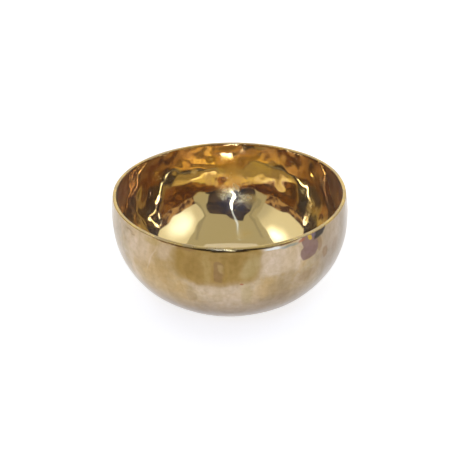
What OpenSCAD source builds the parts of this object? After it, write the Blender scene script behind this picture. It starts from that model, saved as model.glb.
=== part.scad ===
// Offering bowl, raised from one disc of bronze. The wall sweeps up from a flat base through
// a heel arc and a belly arc to its widest point, then turns in over a long shoulder arc to a
// thickened lip with a flat, burnished top. Millimetres, +Z up, origin at the centre of the
// base. Every arc is tangent to the next, inside and outside alike.

/* [Body] */
// Outside diameter at the belly, where the bowl is widest
body_d = 160; // [144:1:220]
// Height from the base to the top of the lip
height = 73.6; // [66:0.2:90]
// Height of the widest point above the base
belly_h = 55.6; // [44:0.2:64]
// How far the lip stands inside the belly, on the radius
shoulder_in = 1.6; // [0.4:0.1:6]

/* [Base] */
// Diameter of the flat that the bowl stands on
foot_d = 62; // [30:1:74]
// Outside radius of the heel, where the base turns up into the wall
heel_r = 38; // [16:0.5:44]

/* [Metal] */
// Thickness of the wall at the belly
wall_t = 2; // [1:0.1:4]
// Thickness of the floor over the flat
floor_t = 2; // [1:0.1:5]
// Thickness of the wall at the lip, measured on the radius
lip_t = 2.4; // [2:0.1:5]
// Radius of the rounded outer edge of the lip
lip_outer_r = 0.8; // [0.2:0.1:1.1]
// Radius of the rounded inner edge of the lip
lip_inner_r = 0.6; // [0.2:0.1:0.8]

/* [Hidden] */
$fn = 240;
// How far a cut runs past the face that it opens
overrun = 1;

// The driving sizes of a side of the wall: the face seen from outside, and the face seen from
// inside, which is the outer one less the thickness of the metal at each of its places.
outer_face = side(body_d / 2, foot_d / 2, heel_r, 0, body_d / 2 - shoulder_in);
inner_face = side(body_d / 2 - wall_t, foot_d / 2, heel_r - floor_t, floor_t,
                  body_d / 2 - shoulder_in - lip_t);

// The places in a side's list of arcs, and in one arc
HEEL = 0;
BELLY = 1;
SHOULDER = 2;
FLAT = 3;
CENTRE = 0;
RADIUS = 1;

// Radius of the arc that leaves a vertical at its foot and, after climbing by rise, has come
// in by inset.
function arc_through(rise, inset) = (rise * rise + inset * inset) / (2 * inset);

// Radius of the belly arc, which is upright at the widest point and tangent to the heel arc:
// across and up are the widest point's distances from the heel arc's centre.
function belly_arc(across, up, heel) = (across * across + up * up - heel * heel) / (2 * (across - heel));

// One side of the wall, as its three arcs [centre, radius] from the base up, and then its flat
// as [height, radius].
function side(widest_r, flat_r, heel, flat_z, mouth_r) =
    let (belly = belly_arc(widest_r - flat_r, belly_h - flat_z - heel, heel),
         shoulder = arc_through(height - belly_h, widest_r - mouth_r))
    [[[flat_r, flat_z + heel], heel],
     [[widest_r - belly, belly_h], belly],
     [[widest_r - shoulder, belly_h], shoulder],
     [flat_z, flat_r]];

// Where the heel arc hands over to the belly arc: the point of both on the line through their
// centres.
function handover(face) =
    let (from = face[BELLY][CENTRE], to = face[HEEL][CENTRE])
    from + (to - from) * face[BELLY][RADIUS] / norm(to - from);

// The part of a bowl's filled half section that one arc bounds, between two heights
module band(arc, from_z, to_z) {
    intersection() {
        translate(arc[CENTRE]) circle(arc[RADIUS]);
        translate([0, from_z]) square([arc[CENTRE][0] + arc[RADIUS] + overrun, to_z - from_z]);
    }
    if (arc[CENTRE][0] > 0)
        translate([0, from_z]) square([arc[CENTRE][0], to_z - from_z]);
}

// The half section of everything inside one side of the wall, up to the height given
module filled(face, top_z) {
    band(face[HEEL], face[FLAT][0], handover(face)[1]);
    band(face[BELLY], handover(face)[1], belly_h);
    band(face[SHOULDER], belly_h, top_z);
}

// What rounding takes off an edge between the lip's flat top and a side's shoulder arc. The
// metal lies within that arc on the outside (lies = -1) and beyond it on the inside (lies = 1).
module edge_waste(face, edge_r, lies) {
    arc = face[SHOULDER];
    reach = arc[RADIUS] + lies * edge_r;
    rise = height - edge_r - belly_h;
    centre = [arc[CENTRE][0] + sqrt(reach * reach - rise * rise), height - edge_r];
    on_arc = arc[CENTRE] + (centre - arc[CENTRE]) * arc[RADIUS] / reach;
    past = [on_arc[0] - lies * overrun, height + overrun];
    difference() {
        polygon([centre, on_arc, [past[0], on_arc[1]], past, [centre[0], past[1]]]);
        translate(centre) circle(edge_r);
    }
}

// The half section of the wall, floor and lip
module wall_section() {
    difference() {
        filled(outer_face, height);
        filled(inner_face, height + overrun);
        edge_waste(outer_face, lip_outer_r, -1);
        edge_waste(inner_face, lip_inner_r, 1);
    }
}

module bowl() {
    color([0.80, 0.62, 0.38])
        rotate_extrude()
            wall_section();
}

bowl();
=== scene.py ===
# Offering bowl: a bronze shell raised under the hammer, polished bright inside and left satin
# outside. Metres, +Z up, the bowl's axis is Z and the camera looks along +Y.
import math

import bpy
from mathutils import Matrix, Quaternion, Vector


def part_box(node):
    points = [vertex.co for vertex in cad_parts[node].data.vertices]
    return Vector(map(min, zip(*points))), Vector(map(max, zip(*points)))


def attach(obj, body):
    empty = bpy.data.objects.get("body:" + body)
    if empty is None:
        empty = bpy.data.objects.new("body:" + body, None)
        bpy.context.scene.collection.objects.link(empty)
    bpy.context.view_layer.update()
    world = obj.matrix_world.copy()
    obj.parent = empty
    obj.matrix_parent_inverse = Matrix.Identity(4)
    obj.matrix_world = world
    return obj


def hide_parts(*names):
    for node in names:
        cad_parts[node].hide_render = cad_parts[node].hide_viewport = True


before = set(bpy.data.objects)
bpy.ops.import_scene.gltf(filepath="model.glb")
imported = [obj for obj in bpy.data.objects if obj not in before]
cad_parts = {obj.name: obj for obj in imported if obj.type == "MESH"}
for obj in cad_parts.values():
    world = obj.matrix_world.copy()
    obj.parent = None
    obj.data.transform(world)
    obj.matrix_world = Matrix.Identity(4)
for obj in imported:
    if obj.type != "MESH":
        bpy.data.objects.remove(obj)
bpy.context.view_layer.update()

mm = 0.001
bowlLow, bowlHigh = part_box("bowl")


# Short forms for the node trees below

def addNode(tree, kind, inputs=None, **settings):
    node = tree.nodes.new(kind)
    for name, value in settings.items():
        setattr(node, name, value)
    for key, value in (inputs or {}).items():
        if isinstance(value, bpy.types.NodeSocket):
            tree.links.new(value, node.inputs[key])
        else:
            node.inputs[key].default_value = value
    return node


def mathOf(tree, operation, first, second=0.0, third=0.0):
    inputs = {0: first, 1: second, 2: third}
    return addNode(tree, "ShaderNodeMath", inputs, operation=operation).outputs[0]


def vectorOf(tree, operation, first, second=(0, 0, 0)):
    return addNode(tree, "ShaderNodeVectorMath", {0: first, 1: second}, operation=operation).outputs[0]


def scaledBy(tree, vector, amount):
    inputs = {0: vector, "Scale": amount}
    return addNode(tree, "ShaderNodeVectorMath", inputs, operation="SCALE").outputs[0]


def partsOf(tree, vector):
    return addNode(tree, "ShaderNodeSeparateXYZ", {0: vector}).outputs


def vectorFrom(tree, x, y, z):
    return addNode(tree, "ShaderNodeCombineXYZ", {0: x, 1: y, 2: z}).outputs[0]


def ramped(tree, value, low, high, toLow=0.0, toHigh=1.0):
    inputs = {0: value, 1: low, 2: high, 3: toLow, 4: toHigh}
    return addNode(tree, "ShaderNodeMapRange", inputs, interpolation_type="SMOOTHSTEP").outputs[0]


def lengthOf(tree, vector):
    return addNode(tree, "ShaderNodeVectorMath", {0: vector}, operation="LENGTH").outputs["Value"]


def noiseOf(tree, vector, size, seed=0.0, detail=2.0, distortion=0.0, finer=1.0, output=0):
    # The size is a number or a socket. Output 1 is a colour, three noises in one
    scale = finer / size if isinstance(size, float) else mathOf(tree, "DIVIDE", finer, size)
    inputs = {"Vector": vector, "W": seed, "Scale": scale, "Detail": detail, "Distortion": distortion}
    return addNode(tree, "ShaderNodeTexNoise", inputs, noise_dimensions="4D").outputs[output]


def blended(tree, share, first, second):
    inputs = {0: share, 6: first, 7: second}
    return addNode(tree, "ShaderNodeMix", inputs, data_type="RGBA").outputs[2]


# Camera

view = {
    "place": Vector((0, -530.9, 345.5)) * mm,
    "aim": Vector((-0.95, 0, 42.8)) * mm,
    "roll": math.radians(-0.8),
    "lens": 69.7,
    "sensor": 36,
    "nearest": 10 * mm,
}


def makeCamera(view):
    camera = bpy.data.objects.new("camera", bpy.data.cameras.new("camera"))
    camera.data.lens = view["lens"]
    camera.data.sensor_width = view["sensor"]
    camera.data.clip_start = view["nearest"]
    look = (view["aim"] - view["place"]).to_track_quat("-Z", "Y")
    turned = look @ Quaternion((0, 0, 1), view["roll"])
    camera.rotation_euler = turned.to_euler()
    camera.location = view["place"]
    bpy.context.scene.collection.objects.link(camera)
    bpy.context.scene.camera = camera


makeCamera(view)
print("camera placed")


# Bowl: the section of its wall, drawn as arcs

bowl = {
    "widest": (bowlHigh.x - bowlLow.x) / 2,
    "height": bowlHigh.z - bowlLow.z,
    "bellyHeight": 55.6 * mm,
    "shoulderIn": 1.6 * mm,
    "foot": 31 * mm,
    "heel": 38 * mm,
    "wall": 2 * mm,
    "lip": 2.4 * mm,
    "lipOuterEdge": 0.8 * mm,
    "lipInnerEdge": 0.6 * mm,
    "rowStep": 1.25 * mm,
    "flatStep": 2.5 * mm,
    "edgeRows": 6,
    "flatFade": 6 * mm,       # height over which the hammering grows from none at the base
    "lipGive": 0.35,          # share of the hammering that the lip takes
    "innerLow": 0.25,         # the same inside, on the floor and on the wall
    "innerHigh": 2.8,
    "innerRise": 45 * mm,
    "innerCurve": 1.5,        # how late the hammering grows on the way up the wall
    "weld": 0.001 * mm,       # points nearer than this are made one
}
outerSide, lipSide, innerSide = 0, 1, 2


def inPlane(across, up):
    return Vector((across, 0, up))


def arcRows(centre, radius, start, end, side, facing=1, least=2):
    count = max(least, round(abs(end - start) * radius / bowl["rowStep"]))
    rows = []
    for i in range(count):
        angle = start + (end - start) * i / count
        out = inPlane(math.cos(angle), math.sin(angle))
        rows.append({"place": centre + out * radius, "facing": out * facing, "side": side})
    return rows


def flatRows(start, end, height, side, up):
    count = max(2, round(abs(end - start) / bowl["flatStep"]))
    return [{"place": inPlane(start + (end - start) * i / count, height), "facing": inPlane(0, up),
             "side": side} for i in range(count)]


def wallArcs(widest, heel, floor, mouth):
    across = widest - bowl["foot"]
    up = bowl["bellyHeight"] - floor - heel
    belly = (across ** 2 + up ** 2 - heel ** 2) / (2 * (across - heel))
    rise = bowl["height"] - bowl["bellyHeight"]
    inset = widest - mouth
    shoulder = (rise ** 2 + inset ** 2) / (2 * inset)
    return {
        "heel": (inPlane(bowl["foot"], floor + heel), heel),
        "belly": (inPlane(widest - belly, bowl["bellyHeight"]), belly),
        "shoulder": (inPlane(widest - shoulder, bowl["bellyHeight"]), shoulder),
        "handover": math.atan2(-up, belly - across),
    }


def lipEdge(shoulder, radius, lies):
    centre, reach = shoulder[0], shoulder[1] + lies * radius
    angle = math.asin((bowl["height"] - radius - bowl["bellyHeight"]) / reach)
    return centre + inPlane(math.cos(angle), math.sin(angle)) * reach, angle


def sectionRows():
    mouth = bowl["widest"] - bowl["shoulderIn"]
    outer = wallArcs(bowl["widest"], bowl["heel"], 0, mouth)
    inner = wallArcs(bowl["widest"] - bowl["wall"], bowl["heel"] - bowl["wall"], bowl["wall"],
                     mouth - bowl["lip"])
    outerEdge, outerAngle = lipEdge(outer["shoulder"], bowl["lipOuterEdge"], -1)
    innerEdge, innerAngle = lipEdge(inner["shoulder"], bowl["lipInnerEdge"], 1)
    down, upright = -math.pi / 2, math.pi / 2
    edgeRows = bowl["edgeRows"]
    return [
        *flatRows(0, bowl["foot"], 0, outerSide, -1),
        *arcRows(*outer["heel"], down, outer["handover"], outerSide),
        *arcRows(*outer["belly"], outer["handover"], 0, outerSide),
        *arcRows(*outer["shoulder"], 0, outerAngle, outerSide),
        *arcRows(outerEdge, bowl["lipOuterEdge"], outerAngle, upright, lipSide, least=edgeRows),
        *flatRows(outerEdge.x, innerEdge.x, bowl["height"], lipSide, 1),
        *arcRows(innerEdge, bowl["lipInnerEdge"], upright, math.pi + innerAngle, lipSide,
                 least=edgeRows),
        *arcRows(*inner["shoulder"], innerAngle, 0, innerSide, -1),
        *arcRows(*inner["belly"], 0, inner["handover"], innerSide, -1),
        *arcRows(*inner["heel"], inner["handover"], down, innerSide, -1),
        *flatRows(bowl["foot"], 0, bowl["wall"], innerSide, 1),
        {"place": inPlane(0, bowl["wall"]), "facing": inPlane(0, 1), "side": innerSide},
    ]


def pushOf(row):
    # Which way, and by what share, the hammering moves a row of the section
    height = row["place"].z
    if row["side"] == lipSide:
        return inPlane(bowl["lipGive"], 0)
    if row["side"] == innerSide:
        rise = min(1, height / bowl["innerRise"]) ** bowl["innerCurve"]
        return -row["facing"] * (bowl["innerLow"] + (bowl["innerHigh"] - bowl["innerLow"]) * rise)
    return row["facing"] * min(1, height / bowl["flatFade"])


rimWear = {
    "from": 70.4 * mm,        # height at which the worn outer edge starts
    "top": 73.35 * mm,
    "across": 1.3 * mm,
    "angle": -93,             # degrees from +X: the side that faces the camera
    "full": 24,
    "none": 40,
}


def wornOf(row, lipTop):
    # How far a row moves where the outer edge of the lip is worn round, from a shoulder row to
    # the row at which the flat top starts
    place = row["place"]
    if row["side"] == innerSide or place.z < rimWear["from"] or place.x < lipTop.x:
        return inPlane(0, 0)
    share = (place.z - rimWear["from"]) / (lipTop.z - rimWear["from"])
    if place.x < lipTop.x + bowl["lipOuterEdge"] and row["side"] == lipSide:
        share = max(share, 1 - (place.x - lipTop.x) / rimWear["across"])
    share = min(1, share)
    foot = lipTop.x + rimWear["across"]
    worn = inPlane(foot - rimWear["across"] * (1 - math.sqrt(1 - share ** 2)),
                   rimWear["from"] + (rimWear["top"] - rimWear["from"]) * share)
    return worn - place


def makeSection(rows):
    mesh = bpy.data.meshes.new("bowlSection")
    places = [row["place"] for row in rows]
    mesh.from_pydata(places, [(i, i + 1) for i in range(len(rows) - 1)], [])
    mesh.attributes.new("push", "FLOAT_VECTOR", "POINT")
    mesh.attributes.new("worn", "FLOAT_VECTOR", "POINT")
    mesh.attributes.new("side", "INT", "POINT")
    push, worn, side = (mesh.attributes[name].data for name in ("push", "worn", "side"))
    lipTop = next(row["place"] for row in rows
                  if row["side"] == lipSide and row["facing"] == inPlane(0, 1))
    for i, row in enumerate(rows):
        push[i].vector = pushOf(row)
        worn[i].vector = wornOf(row, lipTop)
        side[i].value = row["side"]
    section = bpy.data.objects.new("bowlSection", mesh)
    bpy.context.scene.collection.objects.link(section)
    return section


# The tree that turns the section round the axis and hammers it, with its inputs

raising = {
    "Segments": 480,
    "Hammer Size": 16 * mm,
    "Hammer Depth": 0.6 * mm,
    "Ripple Size": 8 * mm,
    "Ripple Depth": 0.15 * mm,
    "Nick Size": 2.2 * mm,
    "Nick Depth": 0.5 * mm,
    "Seed": 5.0,
}
# How far the rim has gone out of round, and how it rises and falls: lobes, depth, angle of one
roundWaves = [(1, 0.3 * mm, 180), (2, 0.3 * mm, 90), (3, 0.5 * mm, 34)]
liftWaves = [(1, 0.45 * mm, -75), (3, 0.12 * mm, 20)]
rimCorner = {"angle": 34, "halfWidth": 24, "depth": 0.35 * mm}
nickStretch = {"angle": -52, "halfWidth": 34, "elsewhere": 0.3}


def wavesRound(tree, turn, waves):
    total = 0.0
    for lobes, depth, angle in waves:
        swing = mathOf(tree, "MULTIPLY_ADD", turn, lobes, -math.radians(angle) * lobes)
        total = mathOf(tree, "MULTIPLY_ADD", mathOf(tree, "COSINE", swing), depth, total)
    return total


def nearAngle(tree, turn, angle, none, full=0):
    # 1 within full degrees of the angle, falling to 0 at none degrees
    towards = mathOf(tree, "COSINE", mathOf(tree, "SUBTRACT", turn, math.radians(angle)))
    return ramped(tree, towards, math.cos(math.radians(none)), math.cos(math.radians(full)))


def namedValue(tree, kind, name):
    return addNode(tree, "GeometryNodeInputNamedAttribute", {"Name": name}, data_type=kind).outputs[0]


def sampled(tree, section, kind, value, index):
    inputs = {"Geometry": section, "Value": value, "Index": index}
    return addNode(tree, "GeometryNodeSampleIndex", inputs, data_type=kind).outputs[0]


def isSide(tree, value, side):
    return mathOf(tree, "COMPARE", value, float(side), 0.5)


def makeRaisingTree(rowCount):
    tree = bpy.data.node_groups.new("raiseBowl", "GeometryNodeTree")
    face = tree.interface
    face.new_socket("Section", in_out="INPUT", socket_type="NodeSocketGeometry")
    for name, value in raising.items():
        kind = "NodeSocketInt" if isinstance(value, int) else "NodeSocketFloat"
        face.new_socket(name, in_out="INPUT", socket_type=kind)
    for name in ("Outer Finish", "Lip Finish", "Inner Finish"):
        face.new_socket(name, in_out="INPUT", socket_type="NodeSocketMaterial")
    face.new_socket("Shell", in_out="OUTPUT", socket_type="NodeSocketGeometry")
    given = addNode(tree, "NodeGroupInput").outputs
    section = given["Section"]

    # A flat grid, whose X is the turn round the axis and whose Y is the row of the section
    grid = addNode(tree, "GeometryNodeMeshGrid", {
        "Size X": 1.0, "Size Y": 1.0, "Vertices X": mathOf(tree, "ADD", given["Segments"], 1.0),
        "Vertices Y": rowCount}).outputs["Mesh"]
    position = addNode(tree, "GeometryNodeInputPosition").outputs[0]
    onGrid = partsOf(tree, position)
    turn = mathOf(tree, "MULTIPLY_ADD", onGrid["X"], math.tau, math.pi)
    along = mathOf(tree, "MULTIPLY_ADD", onGrid["Y"], rowCount - 1.0, (rowCount - 1.0) / 2)
    row = mathOf(tree, "ROUND", along)
    strip = mathOf(tree, "FLOOR", along)

    # What the section says of that row: its place, how it is worn and which way it is pushed
    place = sampled(tree, section, "FLOAT_VECTOR", position, row)
    worn, push = (sampled(tree, section, "FLOAT_VECTOR", namedValue(tree, "FLOAT_VECTOR", name), row)
                  for name in ("worn", "push"))
    rowSide, stripSide = (sampled(tree, section, "INT", namedValue(tree, "INT", "side"), index)
                          for index in (row, strip))
    wear = nearAngle(tree, turn, rimWear["angle"], rimWear["none"], rimWear["full"])
    place = vectorOf(tree, "ADD", place, scaledBy(tree, worn, wear))
    placeOn, pushOn = partsOf(tree, place), partsOf(tree, push)
    cosine, sine = mathOf(tree, "COSINE", turn), mathOf(tree, "SINE", turn)
    radial = vectorFrom(tree, cosine, sine, 0.0)

    def turned(across, up):
        return vectorFrom(tree, mathOf(tree, "MULTIPLY", cosine, across),
                          mathOf(tree, "MULTIPLY", sine, across), up)

    smooth = turned(placeOn["X"], placeOn["Z"])
    outward = turned(pushOn["X"], pushOn["Z"])

    # Hammering: broad blows, finer ripples, and a rim that has gone a little out of round
    def blows(size, depth, seedStep=0.0, detail=0.0):
        seed = mathOf(tree, "ADD", given["Seed"], seedStep)
        noise = noiseOf(tree, smooth, given[size], seed, detail)
        return mathOf(tree, "MULTIPLY", mathOf(tree, "SUBTRACT", noise, 0.5), given[depth])

    dents = mathOf(tree, "ADD", blows("Hammer Size", "Hammer Depth"),
                   blows("Ripple Size", "Ripple Depth", seedStep=7.0))
    heightShare = mathOf(tree, "DIVIDE", placeOn["Z"], bowl["height"])
    heightShare = mathOf(tree, "MULTIPLY", heightShare, heightShare)
    corner = nearAngle(tree, turn, rimCorner["angle"], rimCorner["halfWidth"])
    outOfRound = wavesRound(tree, turn, roundWaves)
    outOfRound = mathOf(tree, "MULTIPLY_ADD", corner, rimCorner["depth"], outOfRound)
    outOfRound = mathOf(tree, "MULTIPLY", outOfRound, heightShare)
    lift = mathOf(tree, "MULTIPLY", wavesRound(tree, turn, liftWaves), heightShare)

    # Small nicks that the last blows left along the lip
    nicked = nearAngle(tree, turn, nickStretch["angle"], nickStretch["halfWidth"])
    nicked = ramped(tree, nicked, 0.0, 1.0, nickStretch["elsewhere"], 1.0)
    nicks = mathOf(tree, "MULTIPLY", blows("Nick Size", "Nick Depth", seedStep=3.0, detail=1.0), nicked)
    nicks = mathOf(tree, "MULTIPLY", nicks, isSide(tree, rowSide, lipSide))

    moved = vectorOf(tree, "ADD", smooth, scaledBy(tree, outward, dents))
    moved = vectorOf(tree, "ADD", moved, scaledBy(tree, radial, mathOf(tree, "ADD", outOfRound, nicks)))
    moved = vectorOf(tree, "ADD", moved, vectorFrom(tree, 0.0, 0.0, lift))

    inputs = {"Geometry": grid, "Name": "side", "Value": stripSide}
    shell = addNode(tree, "GeometryNodeStoreNamedAttribute", inputs, data_type="INT",
                    domain="FACE").outputs[0]
    for kind, inputs in (
            ("GeometryNodeSetPosition", {"Position": moved}),
            ("GeometryNodeMergeByDistance", {"Distance": bowl["weld"]}),
            ("GeometryNodeSetShadeSmooth", {}),
            ("GeometryNodeRealizeInstances", {}),
            ("GeometryNodeSetMaterial", {"Material": given["Outer Finish"]})):
        shell = addNode(tree, kind, {"Geometry": shell, **inputs}).outputs[0]
    faceSide = namedValue(tree, "INT", "side")
    for side, name in ((lipSide, "Lip Finish"), (innerSide, "Inner Finish")):
        inputs = {"Geometry": shell, "Selection": isSide(tree, faceSide, side), "Material": given[name]}
        shell = addNode(tree, "GeometryNodeSetMaterial", inputs).outputs[0]
    addNode(tree, "NodeGroupOutput", {"Shell": shell})
    return tree


# Finishes

def makeMaterial(name):
    material = bpy.data.materials.new(name)
    material.use_nodes = True
    material.node_tree.nodes.clear()
    return material, material.node_tree


def makeGroup(name, inputs, outputs, build):
    tree = bpy.data.node_groups.new(name, "ShaderNodeTree")
    for label, kind, value in inputs:
        socket = tree.interface.new_socket(label, in_out="INPUT", socket_type=kind)
        if value is not None:
            socket.default_value = value
    for label, kind in outputs:
        tree.interface.new_socket(label, in_out="OUTPUT", socket_type=kind)
    given = addNode(tree, "NodeGroupInput").outputs
    addNode(tree, "NodeGroupOutput", build(tree, given))
    return tree


def placeGroup(tree, group, inputs):
    return addNode(tree, "ShaderNodeGroup", inputs, node_tree=group).outputs


def buildBlotches(tree, given):
    # Soft-edged patches of another tone, from a bent noise
    bend = noiseOf(tree, given["Vector"], given["Size"], given["Seed"], finer=2.0, output=1)
    offset = scaledBy(tree, vectorOf(tree, "SUBTRACT", bend, (0.5, 0.5, 0.5)), given["Size"])
    where = vectorOf(tree, "ADD", given["Vector"], offset)
    patch = noiseOf(tree, where, given["Size"], given["Seed"], detail=3.0)
    low = mathOf(tree, "SUBTRACT", given["Level"], given["Softness"])
    high = mathOf(tree, "ADD", given["Level"], given["Softness"])
    return {"Mask": ramped(tree, patch, low, high)}


def buildRubbed(tree, given):
    # Fine lines that run round the bowl, as polishing leaves them, crossed by a few that run up it
    fine = mathOf(tree, "DIVIDE", 1.0, given["Spacing"])
    long = mathOf(tree, "DIVIDE", 1.0, given["Length"])
    lines = []
    for scales, seed in (((long, long, fine), 1.0), ((fine, fine, long), 5.0)):
        stretched = vectorOf(tree, "MULTIPLY", given["Vector"], vectorFrom(tree, *scales))
        lines.append(noiseOf(tree, stretched, 1.0, seed, detail=3.0))
    mixed = mathOf(tree, "MULTIPLY_ADD", lines[1], given["Crossing"], lines[0])
    return {"Lines": mathOf(tree, "DIVIDE", mixed, mathOf(tree, "ADD", given["Crossing"], 1.0))}


blotches = makeGroup("tarnishBlotches", [
    ("Vector", "NodeSocketVector", None), ("Size", "NodeSocketFloat", 20 * mm),
    ("Seed", "NodeSocketFloat", 0.0), ("Level", "NodeSocketFloat", 0.5),
    ("Softness", "NodeSocketFloat", 0.1)], [("Mask", "NodeSocketFloat")], buildBlotches)
rubbed = makeGroup("polishingLines", [
    ("Vector", "NodeSocketVector", None), ("Spacing", "NodeSocketFloat", 0.4 * mm),
    ("Length", "NodeSocketFloat", 30 * mm), ("Crossing", "NodeSocketFloat", 0.5)],
    [("Lines", "NodeSocketFloat")], buildRubbed)


def objectPlace(tree):
    return addNode(tree, "ShaderNodeTexCoord").outputs["Object"]


def blotchMask(tree, where, settings):
    return placeGroup(tree, blotches, {"Vector": where, **settings})["Mask"]


# The thin film that handling leaves on the metal, at its fullest
film = {
    "coatRoughness": 0.35,
    "sheen": 0.05,
    "sheenRoughness": 0.6,
}


def finishMetal(tree, look, color, roughness, lines):
    bump = addNode(tree, "ShaderNodeBump", {
        "Height": lines, "Strength": look["lineStrength"], "Distance": look["lineDepth"]}).outputs[0]
    metal = addNode(tree, "ShaderNodeBsdfPrincipled", {
        "Base Color": color, "Roughness": roughness, "Metallic": 1.0, "Normal": bump,
        "Coat Weight": look["filmShare"], "Coat Roughness": film["coatRoughness"],
        "Sheen Weight": look["filmShare"] * film["sheen"], "Sheen Roughness": film["sheenRoughness"],
    }).outputs[0]
    addNode(tree, "ShaderNodeOutputMaterial", {"Surface": metal})


innerFinish = {
    "gold": (0.84, 0.62, 0.27, 1),
    "amber": (0.88, 0.66, 0.24, 1),
    "copper": (0.71, 0.51, 0.26, 1),      # the wall, which is handled and polished less than the floor
    "copperFrom": 30 * mm,
    "copperTo": 42 * mm,
    "sideShade": (0.53, 0.34, 0.2, 1),        # painted shade: the wall at the bowl's left and right sides, as the camera sees them, darker for the darker reflections there
    "sideShadeFrom": 52 * mm,
    "sideShadeTo": 68 * mm,
    "rim": (0.53, 0.38, 0.25, 1),         # the wall just below the lip
    "rimFrom": 60 * mm,
    "rimTo": 67 * mm,
    "rimShare": 0.7,
    "grime": (0.88, 0.59, 0.18, 1),       # where it is smudged
    "grimeFull": 0.2,                     # how much rougher the metal is where the grime is full
    "drift": 14 * mm,                     # how far the edges between these tones wander
    "sideShadeDrift": 1.5,                    # shares of that at the two sides and below the lip
    "rimDrift": 0.3,
    "wander": {"Size": 30 * mm, "Seed": 2.0, "Level": 0.5, "Softness": 0.3},
    "blotch": {"Size": 26 * mm, "Seed": 9.0, "Level": 0.5, "Softness": 0.08},
    "roughness": 0.03,
    "lineRoughness": 0.05,
    "lineStrength": 0.03,
    "lineDepth": 0.02 * mm,
    "filmShare": 1.0,
}


# Smudges that blur the reflections: place, reach, how many times taller than wide, and how much
# rougher they are
smudges = [
    (Vector((-6, 73, 33)) * mm, 9 * mm, 1, 0.24),
    (Vector((4, 74, 36)) * mm, 8 * mm, 1, 0.24),
    (Vector((13, 70, 29)) * mm, 9 * mm, 1, 0.25),
    (Vector((5, 77, 50)) * mm, 8 * mm, 3, 0.22),
    (Vector((9, 51, 8)) * mm, 9 * mm, 1, 0.12),
    (Vector((-52, 58, 58)) * mm, 9 * mm, 1, 0.2),
    (Vector((60, 45, 33)) * mm, 7 * mm, 2, 0.25),
    (Vector((34, 69, 62)) * mm, 5 * mm, 3, 0.12),
    (Vector((-2, 77, 63)) * mm, 8 * mm, 1, 0.1),
]


def makeInnerFinish(look):
    material, tree = makeMaterial("brightBronze")
    where = objectPlace(tree)
    x, _, z = partsOf(tree, where)
    lines = placeGroup(tree, rubbed, {"Vector": where})["Lines"]
    wander = mathOf(tree, "SUBTRACT", blotchMask(tree, where, look["wander"]), 0.5)
    drift = mathOf(tree, "MULTIPLY", wander, look["drift"])
    wall = ramped(tree, mathOf(tree, "ADD", z, drift), look["copperFrom"], look["copperTo"])
    color = blended(tree, blotchMask(tree, where, look["blotch"]), look["amber"], look["copper"])
    color = blended(tree, wall, look["gold"], color)
    # Painted shade: the wall at the two sides along X is darkened for the darker reflections seen there
    # from the front
    sideways = mathOf(tree, "MULTIPLY_ADD", drift, look["sideShadeDrift"], mathOf(tree, "ABSOLUTE", x))
    sideways = ramped(tree, sideways, look["sideShadeFrom"], look["sideShadeTo"])
    color = blended(tree, mathOf(tree, "MULTIPLY", wall, sideways), color, look["sideShade"])
    nearRim = mathOf(tree, "MULTIPLY_ADD", drift, look["rimDrift"], z)
    nearRim = ramped(tree, nearRim, look["rimFrom"], look["rimTo"], 0.0, look["rimShare"])
    color = blended(tree, nearRim, color, look["rim"])

    drifted = vectorOf(tree, "ADD", where, vectorFrom(tree, drift, 0.0, drift))
    smudged = 0.0
    for centre, reach, taller, added in smudges:
        offset = vectorOf(tree, "SUBTRACT", drifted, centre)
        offset = vectorOf(tree, "MULTIPLY", offset, (1, 1, 1 / taller))
        smudge = ramped(tree, lengthOf(tree, offset), reach, 0.0, 0.0, added)
        smudged = mathOf(tree, "ADD", smudged, smudge)
    color = blended(tree, ramped(tree, smudged, 0.0, look["grimeFull"]), color, look["grime"])
    roughness = mathOf(tree, "MULTIPLY_ADD", lines, look["lineRoughness"], look["roughness"])
    roughness = mathOf(tree, "ADD", roughness, smudged)
    finishMetal(tree, look, color, roughness, lines)
    return material


lipFinish = {
    "gold": (0.74, 0.53, 0.19, 1),
    "grey": (0.5, 0.37, 0.19, 1),
    "blotch": {"Size": 9 * mm, "Seed": 6.0, "Level": 0.5, "Softness": 0.2},
    "roughness": 0.2,
    "greyRoughness": 0.12,                # how much rougher the grey metal is
    "lineSpacing": 0.3 * mm,
    "lineStrength": 0.1,
    "lineDepth": 0.03 * mm,
    "filmShare": 0.0,
}


def makeLipFinish(look):
    material, tree = makeMaterial("burnishedLip")
    where = objectPlace(tree)
    grey = blotchMask(tree, where, look["blotch"])
    lines = placeGroup(tree, rubbed, {"Vector": where, "Spacing": look["lineSpacing"]})["Lines"]
    color = blended(tree, grey, look["gold"], look["grey"])
    roughness = mathOf(tree, "MULTIPLY_ADD", grey, look["greyRoughness"], look["roughness"])
    finishMetal(tree, look, color, roughness, lines)
    return material


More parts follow.
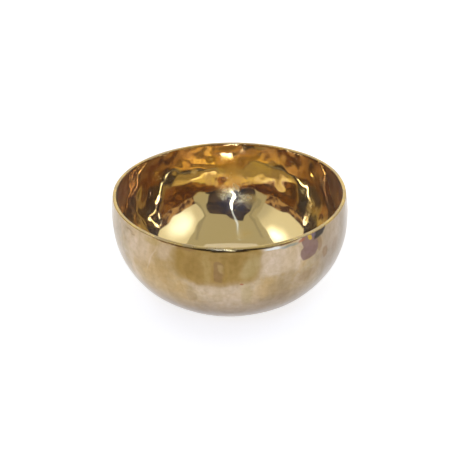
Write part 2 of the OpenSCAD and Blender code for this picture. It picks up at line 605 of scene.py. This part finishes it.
outerFinish = {
    "beige": (0.495, 0.40, 0.26, 1),
    "tan": (0.44, 0.33, 0.18, 1),
    "blotch": {"Size": 34 * mm, "Seed": 1.0, "Level": 0.52, "Softness": 0.16},
    "cloudSoftness": 0.08,
    "bend": 7 * mm,                       # how far the edges of the patches wander
    "bendSize": 13 * mm,
    "bendSeeds": (2.0, 8.0),              # up and down, and sideways
    "specks": {"size": 1.6 * mm, "seed": 11.0},
    "speckRange": (0.76, 0.8, 0.0, 0.5),  # the noise's low and high, and the specks' strength at each
    "baseShade": (0.19, 0.135, 0.095, 1),       # painted shade: darker towards the base, for the floor in the bowl's own shadow that the metal reflects there
    "baseShadeFrom": 42 * mm,
    "baseShadeTo": 14 * mm,
    "baseShadeShare": 0.8,
    "streaks": {"size": 5 * mm, "seed": 4.0, "detail": 3.0, "distortion": 0.4},
    "streakWidth": 0.22,                  # as a share of their height
    "streakShade": 0.4,                   # how much the wiped streaks and the mottle change the tone
    "mottle": {"size": 3.2 * mm, "seed": 6.0, "detail": 5.0, "distortion": 0.6},
    "mottleShade": 0.4,
    "warmth": (0.9, 1.0, 1.6),            # the share of that change in red, green and blue
    "tint": (1.0, 0.97, 0.92),
    "roughness": 0.13,
    "lineRoughness": 0.1,
    "lineStrength": 0.12,
    "lineDepth": 0.04 * mm,
    "filmShare": 0.0,
}
# Tones of the outside's tarnish, and of the reflections painted on its front
tarnishAndReflectionTones = {
    "olive": (0.31, 0.198, 0.056, 1),
    "darkOlive": (0.26, 0.16, 0.045, 1),
    "paleOlive": (0.41, 0.30, 0.125, 1),
    "warmTan": (0.48, 0.335, 0.15, 1),
    "coolTan": (0.33, 0.245, 0.14, 1),
    "khaki": (0.43, 0.34, 0.17, 1),
    "rose": (0.56, 0.45, 0.34, 1),
    "mauve": (0.225, 0.145, 0.13, 1),
    "dove": (0.265, 0.215, 0.17, 1),
    "umber": (0.25, 0.15, 0.07, 1),
    "nearBlack": (0.06, 0.05, 0.045, 1),
    "rust": (0.3, 0.08, 0.04, 1),
    "brightYellow": (0.5, 0.34, 0.06, 1),
    "paleSteel": (0.72, 0.76, 0.8, 1),
    "teal": (0.24, 0.27, 0.24, 1),
    "ember": (0.36, 0.13, 0.07, 1),
    "violet": (0.15, 0.12, 0.15, 1),
}

# Patches of other tones on the outside: angle in degrees from the front, height, the half width and
# half height of the patch, how soft its edge is, its lean in degrees a millimetre, its tone and how
# strong it is. Those round the back are tarnish left where the bowl was held and wiped; those on the
# front follow its look, and some of them are painted reflections, marked below.
outerPatches = [
    # Painted reflection: these two grey patches at the outlines seen from the front stand for the
    # greyer reflection there, where the metal is seen at a grazing angle
    (62, 48 * mm, 20, 34 * mm, 0.6, 0, "dove", 0.8),
    (-72, 48 * mm, 14, 34 * mm, 0.7, 0, "dove", 0.4),
    (-38, 46 * mm, 11, 30 * mm, 0.7, 0, "warmTan", 0.65),
    (-46, 64 * mm, 8, 9 * mm, 0.8, 0, "rose", 0.6),
    (-28, 62 * mm, 7, 13 * mm, 0.8, 0, "olive", 0.45),
    (-6, 64 * mm, 20, 16.5 * mm, 0.12, 0, "olive", 0.92),
    (-17, 60 * mm, 4.2, 8 * mm, 0.35, 0, "darkOlive", 0.45),
    (-10.5, 60 * mm, 1.8, 12 * mm, 0.5, 0, "paleOlive", 0.4),
    (-5, 59.5 * mm, 2.4, 7.4 * mm, 0.09, 0, "umber", 0.72),
    (-4.2, 61.5 * mm, 1.3, 3.2 * mm, 0.3, 0, "paleOlive", 0.5),
    (-2.6, 56 * mm, 1.1, 6 * mm, 0.5, 0, "olive", 0.6),
    (2, 66 * mm, 3.2, 6 * mm, 0.8, 0, "darkOlive", 0.35),
    (9, 61 * mm, 3.6, 8 * mm, 0.5, 0.15, "khaki", 0.7),
    (23, 62 * mm, 10, 9.5 * mm, 0.2, 0, "rose", 0.85),
    (27, 62 * mm, 3, 12 * mm, 0.6, 0.1, "paleOlive", 0.3),
    (30, 38 * mm, 15, 14 * mm, 0.5, 0, "coolTan", 0.66),
    (17, 43 * mm, 5, 8 * mm, 0.5, 0, "warmTan", 0.6),
    (-2, 41 * mm, 13, 8 * mm, 0.6, 0, "rose", 0.55),
    (-18.5, 37.5 * mm, 2.6, 4.2 * mm, 0.2, 0, "coolTan", 0.6),
    (-25, 34 * mm, 8, 12 * mm, 0.7, 0, "warmTan", 0.45),
    (44.2, 66 * mm, 1.4, 6 * mm, 0.3, -0.05, "umber", 0.55),
    (56, 66 * mm, 6, 9 * mm, 0.6, 0, "rose", 0.3),
    # Painted reflection: the two mauve patches stand for a mauve reflection of something at the front
    # right
    (38.3, 68 * mm, 4.9, 7 * mm, 0.08, -0.1, "mauve", 0.92),
    (37, 62.5 * mm, 5, 4 * mm, 0.1, 0, "mauve", 0.92),
    # A near-black spot on the lip
    (45.2, 72.2 * mm, 3.4, 3 * mm, 0.2, 0.6, "nearBlack", 0.97),
    # Painted reflection: a bright yellow mark on the lip, part of the rainbow reflection painted below
    (38.3, 71.6 * mm, 1.3, 1.5 * mm, 0.25, 0, "brightYellow", 0.95),
    (48.8, 56.5 * mm, 1.7, 3.6 * mm, 0.3, -0.15, "umber", 0.6),
    (57, 55 * mm, 2.2, 5.5 * mm, 0.4, 0.1, "umber", 0.3),
    (-38.5, 58 * mm, 0.45, 10 * mm, 0.35, 0.35, "rose", 0.45),
    (5, 49 * mm, 0.7, 0.7 * mm, 0.4, 0, "rust", 0.9),
    # Painted reflections along the lip: a pale glint, then teal, red and violet marks of a rainbow
    # reflection
    (19.5, 72.3 * mm, 4.5, 0.9 * mm, 0.4, 0, "paleSteel", 0.85),
    (27.5, 72 * mm, 4, 0.9 * mm, 0.4, 0, "teal", 0.75),
    (33.5, 72.3 * mm, 1.8, 0.9 * mm, 0.4, 0, "ember", 0.75),
    (41, 72.4 * mm, 1.3, 1.6 * mm, 0.3, 0, "violet", 0.8),
    (-20, 71.5 * mm, 4.5, 1.3 * mm, 0.4, 0, "umber", 0.6),
    (-38, 71 * mm, 4.5, 2 * mm, 0.5, 0, "paleOlive", 0.7),
    (-31.5, 66 * mm, 3, 5 * mm, 0.5, 0.2, "rose", 0.45),
    (-35.5, 50 * mm, 4.5, 4 * mm, 0.5, 0, "warmTan", 0.5),
    (-54, 70.3 * mm, 2.6, 0.5 * mm, 0.6, 0, "umber", 0.55),
    (-51, 69 * mm, 1.4, 0.4 * mm, 0.6, 0, "umber", 0.5),
    (22, 40 * mm, 5, 7 * mm, 0.4, 0, "coolTan", 0.55),
    (25.5, 34 * mm, 2.6, 4 * mm, 0.5, 0.3, "umber", 0.3),
    (36.5, 45 * mm, 4.5, 4 * mm, 0.4, 0.2, "umber", 0.3),
    (-1, 33 * mm, 12, 7 * mm, 0.5, 0, "rose", 0.4),
    (7, 40 * mm, 2.4, 9 * mm, 0.5, -0.05, "khaki", 0.6),
    (-24, 42 * mm, 3.5, 5 * mm, 0.4, 0.2, "warmTan", 0.5),
    (98, 60 * mm, 15, 12 * mm, 0.3, 0.1, "olive", 0.6),
    (118, 42 * mm, 9, 14 * mm, 0.5, 0, "warmTan", 0.6),
    (131, 64 * mm, 6, 9 * mm, 0.15, -0.2, "mauve", 0.6),
    (152, 52 * mm, 16, 15 * mm, 0.4, 0, "rose", 0.6),
    (176, 63 * mm, 18, 13 * mm, 0.2, 0, "olive", 0.75),
    (171, 60 * mm, 3, 8 * mm, 0.3, 0.1, "umber", 0.4),
    (-162, 40 * mm, 10, 12 * mm, 0.5, 0, "coolTan", 0.7),
    (-140, 62 * mm, 12, 10 * mm, 0.25, 0, "rose", 0.7),
    (-124, 50 * mm, 4, 7 * mm, 0.3, 0, "coolTan", 0.7),
    (-106, 60 * mm, 9, 14 * mm, 0.4, 0, "warmTan", 0.7),
]


# Clouds of tarnish all over the outside: size, seed, level, tone and strength
outerClouds = [
    (15 * mm, 12.0, 0.5, "rose", 0.45),
    (9 * mm, 21.0, 0.54, "coolTan", 0.45),
    (6 * mm, 33.0, 0.54, "warmTan", 0.5),
]


patchCorners = 3.0      # 2 makes the patches ellipses, and more makes them squarer


def buildPatch(tree, given):
    # One soft-edged patch at its angle and height on the bowl
    across = mathOf(tree, "SUBTRACT", given["Angle"], given["At Angle"])
    across = mathOf(tree, "WRAP", across, 180.0, -180.0)
    up = mathOf(tree, "SUBTRACT", given["Height"], given["At Height"])
    leaning = mathOf(tree, "DIVIDE", mathOf(tree, "MULTIPLY", up, given["Lean"]), mm)
    across = mathOf(tree, "DIVIDE", mathOf(tree, "SUBTRACT", across, leaning), given["Half Angle"])
    up = mathOf(tree, "DIVIDE", up, given["Half Height"])
    shares = [mathOf(tree, "POWER", mathOf(tree, "ABSOLUTE", share), patchCorners)
              for share in (across, up)]
    reach = mathOf(tree, "POWER", mathOf(tree, "ADD", *shares), 1 / patchCorners)
    outer = mathOf(tree, "ADD", 1.0, given["Edge"])
    inner = mathOf(tree, "SUBTRACT", 1.0, given["Edge"])
    return {"Mask": mathOf(tree, "MULTIPLY", ramped(tree, reach, outer, inner), given["Strength"])}


patchAt = makeGroup("tarnishAndReflectionPatch", [
    ("Angle", "NodeSocketFloat", None), ("Height", "NodeSocketFloat", None),
    ("At Angle", "NodeSocketFloat", 0.0), ("At Height", "NodeSocketFloat", 0.0),
    ("Half Angle", "NodeSocketFloat", 10.0), ("Half Height", "NodeSocketFloat", 10 * mm),
    ("Edge", "NodeSocketFloat", 0.3), ("Lean", "NodeSocketFloat", 0.0),
    ("Strength", "NodeSocketFloat", 1.0)], [("Mask", "NodeSocketFloat")], buildPatch)


def makeOuterFinish(look):
    material, tree = makeMaterial("satinBronze")
    where = objectPlace(tree)
    x, y, z = partsOf(tree, where)
    color = blended(tree, blotchMask(tree, where, look["blotch"]), look["beige"], look["tan"])
    for size, seed, level, tone, strength in outerClouds:
        cloud = blotchMask(tree, where, {"Size": size, "Seed": seed, "Level": level,
                                         "Softness": look["cloudSoftness"]})
        color = blended(tree, mathOf(tree, "MULTIPLY", cloud, strength), color, tarnishAndReflectionTones[tone])

    wander = [mathOf(tree, "SUBTRACT", noiseOf(tree, where, look["bendSize"], seed), 0.5)
              for seed in look["bendSeeds"]]
    height = mathOf(tree, "MULTIPLY_ADD", wander[0], look["bend"], z)
    turn = mathOf(tree, "ARCTAN2", x, mathOf(tree, "MULTIPLY", y, -1.0))
    turn = mathOf(tree, "MULTIPLY_ADD", wander[1], look["bend"] / bowl["widest"], turn)
    angle = mathOf(tree, "MULTIPLY", turn, math.degrees(1))
    for atAngle, atHeight, halfAngle, halfHeight, edge, lean, tone, strength in outerPatches:
        mask = placeGroup(tree, patchAt, {
            "Angle": angle, "Height": height, "At Angle": atAngle, "At Height": atHeight,
            "Half Angle": halfAngle, "Half Height": halfHeight, "Edge": edge, "Lean": lean,
            "Strength": strength})["Mask"]
        color = blended(tree, mask, color, tarnishAndReflectionTones[tone])

    specks = ramped(tree, noiseOf(tree, where, **look["specks"]), *look["speckRange"])
    color = blended(tree, specks, color, tarnishAndReflectionTones["umber"])
    # Painted shade: darker towards the base, for the shadowed floor that the outside reflects there
    baseShading = ramped(tree, height, look["baseShadeFrom"], look["baseShadeTo"])
    color = blended(tree, mathOf(tree, "MULTIPLY", baseShading, look["baseShadeShare"]), color, look["baseShade"])
    tall = vectorFrom(tree, x, y, mathOf(tree, "MULTIPLY", z, look["streakWidth"]))
    streaks = mathOf(tree, "SUBTRACT", noiseOf(tree, tall, **look["streaks"]), 0.5)
    mottle = mathOf(tree, "SUBTRACT", noiseOf(tree, where, **look["mottle"]), 0.5)
    shade = mathOf(tree, "MULTIPLY", streaks, look["streakShade"])
    shade = mathOf(tree, "MULTIPLY_ADD", mottle, look["mottleShade"], shade)
    shade = vectorOf(tree, "ADD", scaledBy(tree, look["warmth"], shade), look["tint"])
    color = vectorOf(tree, "MULTIPLY", color, shade)
    lines = placeGroup(tree, rubbed, {"Vector": where})["Lines"]
    roughness = mathOf(tree, "MULTIPLY_ADD", lines, look["lineRoughness"], look["roughness"])
    finishMetal(tree, look, color, roughness, lines)
    return material


def raiseBowl():
    rows = sectionRows()
    section = makeSection(rows)
    tree = makeRaisingTree(len(rows))
    settings = {**raising, "Outer Finish": makeOuterFinish(outerFinish),
                "Lip Finish": makeLipFinish(lipFinish), "Inner Finish": makeInnerFinish(innerFinish)}
    raised = section.modifiers.new("raiseBowl", "NODES")
    raised.node_group = tree
    for item in tree.interface.items_tree:
        if item.in_out == "INPUT" and item.name in settings:
            raised[item.identifier] = settings[item.name]
    ready = section.evaluated_get(bpy.context.evaluated_depsgraph_get())
    mesh = bpy.data.meshes.new_from_object(ready)
    mesh.name = "bowlShell"
    mesh.materials.pop(index=0)      # the section's own slot, which is empty
    shell = bpy.data.objects.new("bowlShell", mesh)
    bpy.context.scene.collection.objects.link(shell)
    section.modifiers.remove(raised)
    bpy.data.objects.remove(section)
    return shell


bowlShell = raiseBowl()
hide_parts("bowl")
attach(bowlShell, "root")
print("bowl raised:", len(bowlShell.data.vertices), "points,", len(bowlShell.data.polygons), "faces")


# Stage: a pale floor inside a light tent whose panels the metal reflects and the camera doesn't see

ground = {
    "reach": 4,
    "color": (0.6, 0.6, 0.6, 1),
    "light": 0.77,            # added for the camera and for reflections, so that it looks white
}
sky = {
    "color": (1, 1, 1, 1),
    "light": 0.6,
    "seenLight": 1.0,         # for the camera and for reflections
}
tent = {
    "halfWidth": 300 * mm,
    "height": 600 * mm,
    "front": 330 * mm,
    "back": 400 * mm,
    "low": 85 * mm,           # height at which the cloths start, so that few show in the outside
    "layer": 0.5 * mm,        # how far each thing on a cloth stands off the one behind it
    "sideGlow": (0.97, 1, 0.99, 1),
    "sideLight": 0.9,
    "lampGlow": (0.75, 0.95, 1.3, 1),
    "fadeFrom": -300 * mm,    # the side cloths grow dimmer towards the front
    "fadeTo": -80 * mm,
    "footTop": 232 * mm,      # top of the side cloths' dark foot, beside the bowl
    "footSlope": 0.2,         # how much lower it is for each step to the back
    "footEdge": 6 * mm,
    "footShapes": {"size": 60 * mm, "seed": 3.0},
    "footRange": (0.42, 0.6),
    "footGlow": (0.09, 0.045, 0.03, 1),
    "footLight": (0.5, 0.33, 0.18, 1),
    "darkGlow": (1.2, 0.85, 0.65, 1),
    "darkShapes": {"size": 70 * mm, "seed": 5.0, "detail": 3.0},
    "darkRange": (0.4, 0.65, 0.022, 0.07),         # the noise's low and high, and the light at each
    "slitGlow": (0.75, 1.0, 1.85, 1),
    "slitRise": (205 * mm, 255 * mm, 9.0, 26.0),   # two heights, and the light at each
    "slitFall": (330 * mm, 440 * mm),
    "slitEnd": 1.2,
}
# Y, Z, reach and strength of the lamp behind each side cloth, and the share of the cloth's light
# that is left at its front
hotSpots = {
    "tentLeft": (86 * mm, 510 * mm, 190 * mm, 3.2, 0.68),
    "tentRight": (-33 * mm, 375 * mm, 250 * mm, 2.1, 0.88),
}
# Colour and strength of what glows evenly
plainGlows = {
    "tentCloth": ((1, 1, 0.86, 1), 0.48),
    "tentSeam": ((1, 1, 0.86, 1), 0.37),
    "curtainGlow": ((1.0, 0.95, 0.9, 1), 0.12),
    "hemGlow": ((1.0, 0.95, 0.9, 1), 0.26),
    "chinkGlow": ((1.0, 0.95, 0.9, 1), 0.9),
    "gapLight": ((0.75, 0.8, 1.0, 1), 1.0),
}

# Outlines in millimetres, as X and Z on the front cloth and as X and Y on the ceiling. First comes
# the dark opening, torn at its top, and where it runs on over the ceiling
openingEdge = [(-208, 85), (-85, 85), (-85, 18), (85, 18), (85, 85), (208, 85), (208, 178), (139, 190),
               (173, 253), (201, 344), (206, 440), (195, 515), (83, 541), (30, 560), (23, 600),
               (-150, 600), (-166, 540), (-186, 520), (-196, 486), (-208, 470)]
openingCeiling = [(23, -330), (-27, -263), (-74, -241), (-119, -218), (-128, -262), (-150, -330)]
# A curtain in its part at low X, seen dimly: its hem, and its far side
curtainHem = [(-62, 224), (-104, 292), (-158, 372), (-204, 412)]
curtainSide = [(-208, 412), (-208, 224)]
# The front of the bright gap in the ceiling, which runs on to the back
gapFront = [(-140, 200), (140, 185)]
underTop = 599      # just under the ceiling
# Bands of light: what each glows with, and its places with the width there, first up the front
# cloth and then over the ceiling
bands = {
    "curtainHem": ("hemGlow", [(x, z, 16) for x, z in curtainHem], []),
    "chinkLow": ("chinkGlow", [(-73, 335, 8), (-73, 343, 8)], []),
    "chinkHigh": ("chinkGlow", [(-70, 426, 8), (-70, 434, 8)], []),
    "slit": ("slitLight", [(4, 95, 24), (0, 145, 20), (-44, 208, 9), (-42, 240, 9), (-30, 290, 18),
                           (-27, 340, 20), (-30, 405, 20), (-39, 490, 18), (-56, underTop, 16)],
             [(-70, -200, 14), (-68, 0, 10), (-61, 120, 4)]),
    "seamRight": ("tentSeam", [(281, 250, 34), (280, underTop, 36)], [(272, -140, 40), (222, 112, 26)]),
    "seamLeft": ("tentSeam", [(-240, 250, 30), (-230, underTop, 32)],
                 [(-214, -140, 32), (-222, 94, 24)]),
}


def onFront(points, layers):
    ahead = tent["front"] - layers * tent["layer"]
    return [(x * mm, -ahead, z * mm) for x, z in points]


def onCeiling(points, layers):
    below = tent["height"] - layers * tent["layer"]
    return [(x * mm, y * mm, below) for x, y in points]


def addToStage(name, corners, faces, material, seen=False):
    mesh = bpy.data.meshes.new(name)
    mesh.from_pydata(corners, [], faces)
    mesh.materials.append(material)
    piece = bpy.data.objects.new(name, mesh)
    piece.visible_camera = seen
    bpy.context.scene.collection.objects.link(piece)


def makePanel(name, corners, material, seen=False):
    addToStage(name, corners, [tuple(range(len(corners)))], material, seen)


def makeBand(name, material, up, over):
    corners = []
    for x, z, width in up:
        corners += onFront([(x - width / 2, z), (x + width / 2, z)], layers=3)
    for x, y, width in over:
        corners += onCeiling([(x - width / 2, y), (x + width / 2, y)], layers=2)
    faces = [(i, i + 1, i + 3, i + 2) for i in range(0, len(corners) - 2, 2)]
    addToStage(name, corners, faces, material)


def seenByEye(tree):
    # 1 for what the camera, a reflection or a glass sees
    path = addNode(tree, "ShaderNodeLightPath").outputs
    seen = mathOf(tree, "MAXIMUM", path["Is Camera Ray"], path["Is Glossy Ray"])
    return mathOf(tree, "MAXIMUM", seen, path["Is Transmission Ray"])


def makeFloorMaterial():
    material, tree = makeMaterial("paleFloor")
    cloth = addNode(tree, "ShaderNodeBsdfDiffuse", {"Color": ground["color"]}).outputs[0]
    strength = mathOf(tree, "MULTIPLY", seenByEye(tree), ground["light"])
    white = addNode(tree, "ShaderNodeEmission", {"Strength": strength}).outputs[0]
    both = addNode(tree, "ShaderNodeAddShader", {0: cloth, 1: white}).outputs[0]
    addNode(tree, "ShaderNodeOutputMaterial", {"Surface": both})
    return material


def finishGlow(tree, color, strength):
    glow = addNode(tree, "ShaderNodeEmission", {"Color": color, "Strength": strength}).outputs[0]
    addNode(tree, "ShaderNodeOutputMaterial", {"Surface": glow})


def makePlainGlow(name):
    material, tree = makeMaterial(name)
    finishGlow(tree, *plainGlows[name])
    return material


def makeSideCloth(name, x):
    # A lamp shines through the cloth, which is dimmer towards its front and dark at its foot
    material, tree = makeMaterial(name)
    where = objectPlace(tree)
    _, y, z = partsOf(tree, where)
    along, up, reach, peak, dimmest = hotSpots[name]
    away = lengthOf(tree, vectorOf(tree, "SUBTRACT", where, Vector((x, along, up))))
    near = ramped(tree, away, reach, 0.0)
    color = blended(tree, near, tent["sideGlow"], tent["lampGlow"])
    strength = mathOf(tree, "MULTIPLY_ADD", near, peak - tent["sideLight"], tent["sideLight"])
    fade = ramped(tree, y, tent["fadeFrom"], tent["fadeTo"], dimmest, 1.0)
    strength = mathOf(tree, "MULTIPLY", strength, fade)
    height = mathOf(tree, "MULTIPLY_ADD", y, tent["footSlope"], z)
    lit = ramped(tree, height, tent["footTop"] - tent["footEdge"], tent["footTop"] + tent["footEdge"])
    strength = blended(tree, lit, (1, 1, 1, 1), strength)
    shapes = ramped(tree, noiseOf(tree, where, **tent["footShapes"]), *tent["footRange"])
    foot = blended(tree, shapes, tent["footGlow"], tent["footLight"])
    finishGlow(tree, blended(tree, lit, foot, color), strength)
    return material


def makeSlitLight():
    # Daylight through the slit between two cloths, brightest at about half its height
    material, tree = makeMaterial("slitLight")
    height = partsOf(tree, objectPlace(tree))["Z"]
    strength = ramped(tree, height, *tent["slitRise"])
    strength = ramped(tree, height, *tent["slitFall"], strength, tent["slitEnd"])
    finishGlow(tree, tent["slitGlow"], strength)
    return material


def makeOpeningDark():
    # The dark room seen through the opening, in which a few dim shapes can be told
    material, tree = makeMaterial("tentOpening")
    shapes = noiseOf(tree, objectPlace(tree), **tent["darkShapes"])
    finishGlow(tree, tent["darkGlow"], ramped(tree, shapes, *tent["darkRange"]))
    return material


def makeStage():
    reach = ground["reach"]
    makePanel("floor", [(-reach, -reach, 0), (reach, -reach, 0), (reach, reach, 0), (-reach, reach, 0)],
              makeFloorMaterial(), seen=True)
    glows = {name: makePlainGlow(name) for name in plainGlows}
    glows["slitLight"] = makeSlitLight()
    dark = makeOpeningDark()
    side, height, low = tent["halfWidth"], tent["height"], tent["low"]
    front, back = tent["front"], tent["back"]
    for name, x in (("tentLeft", -side), ("tentRight", side)):
        makePanel(name, [(x, -front, low), (x, back, low), (x, back, height), (x, -front, height)],
                  makeSideCloth(name, x))
    makePanel("tentTop", [(-side, -front, height), (side, -front, height), (side, back, height),
                          (-side, back, height)], glows["tentCloth"])
    makePanel("tentFront", [(-side, -front, low), (side, -front, low), (side, -front, height),
                            (-side, -front, height)], glows["tentCloth"])
    makePanel("openingFront", onFront(openingEdge, layers=1), dark)
    makePanel("openingTop", onCeiling(openingCeiling, layers=1), dark)
    makePanel("curtain", onFront(curtainHem + curtainSide, layers=2), glows["curtainGlow"])
    for name, (glow, up, over) in bands.items():
        makeBand(name, glows[glow], up, over)
    near = onCeiling(gapFront, layers=2)
    far = [(x, back, z) for x, _, z in reversed(near)]
    makePanel("ceilingGap", near + far, glows["gapLight"])


def makeWorld():
    world = bpy.data.worlds.new("studio")
    world.use_nodes = True
    tree = world.node_tree
    tree.nodes.clear()
    strength = ramped(tree, seenByEye(tree), 0.0, 1.0, sky["light"], sky["seenLight"])
    inputs = {"Color": sky["color"], "Strength": strength}
    light = addNode(tree, "ShaderNodeBackground", inputs).outputs[0]
    addNode(tree, "ShaderNodeOutputWorld", {"Surface": light})
    bpy.context.scene.world = world


makeStage()
makeWorld()
scene = bpy.context.scene
scene.view_settings.view_transform = "Standard"
scene.cycles.max_bounces = 16
scene.cycles.glossy_bounces = 12
print("stage set")
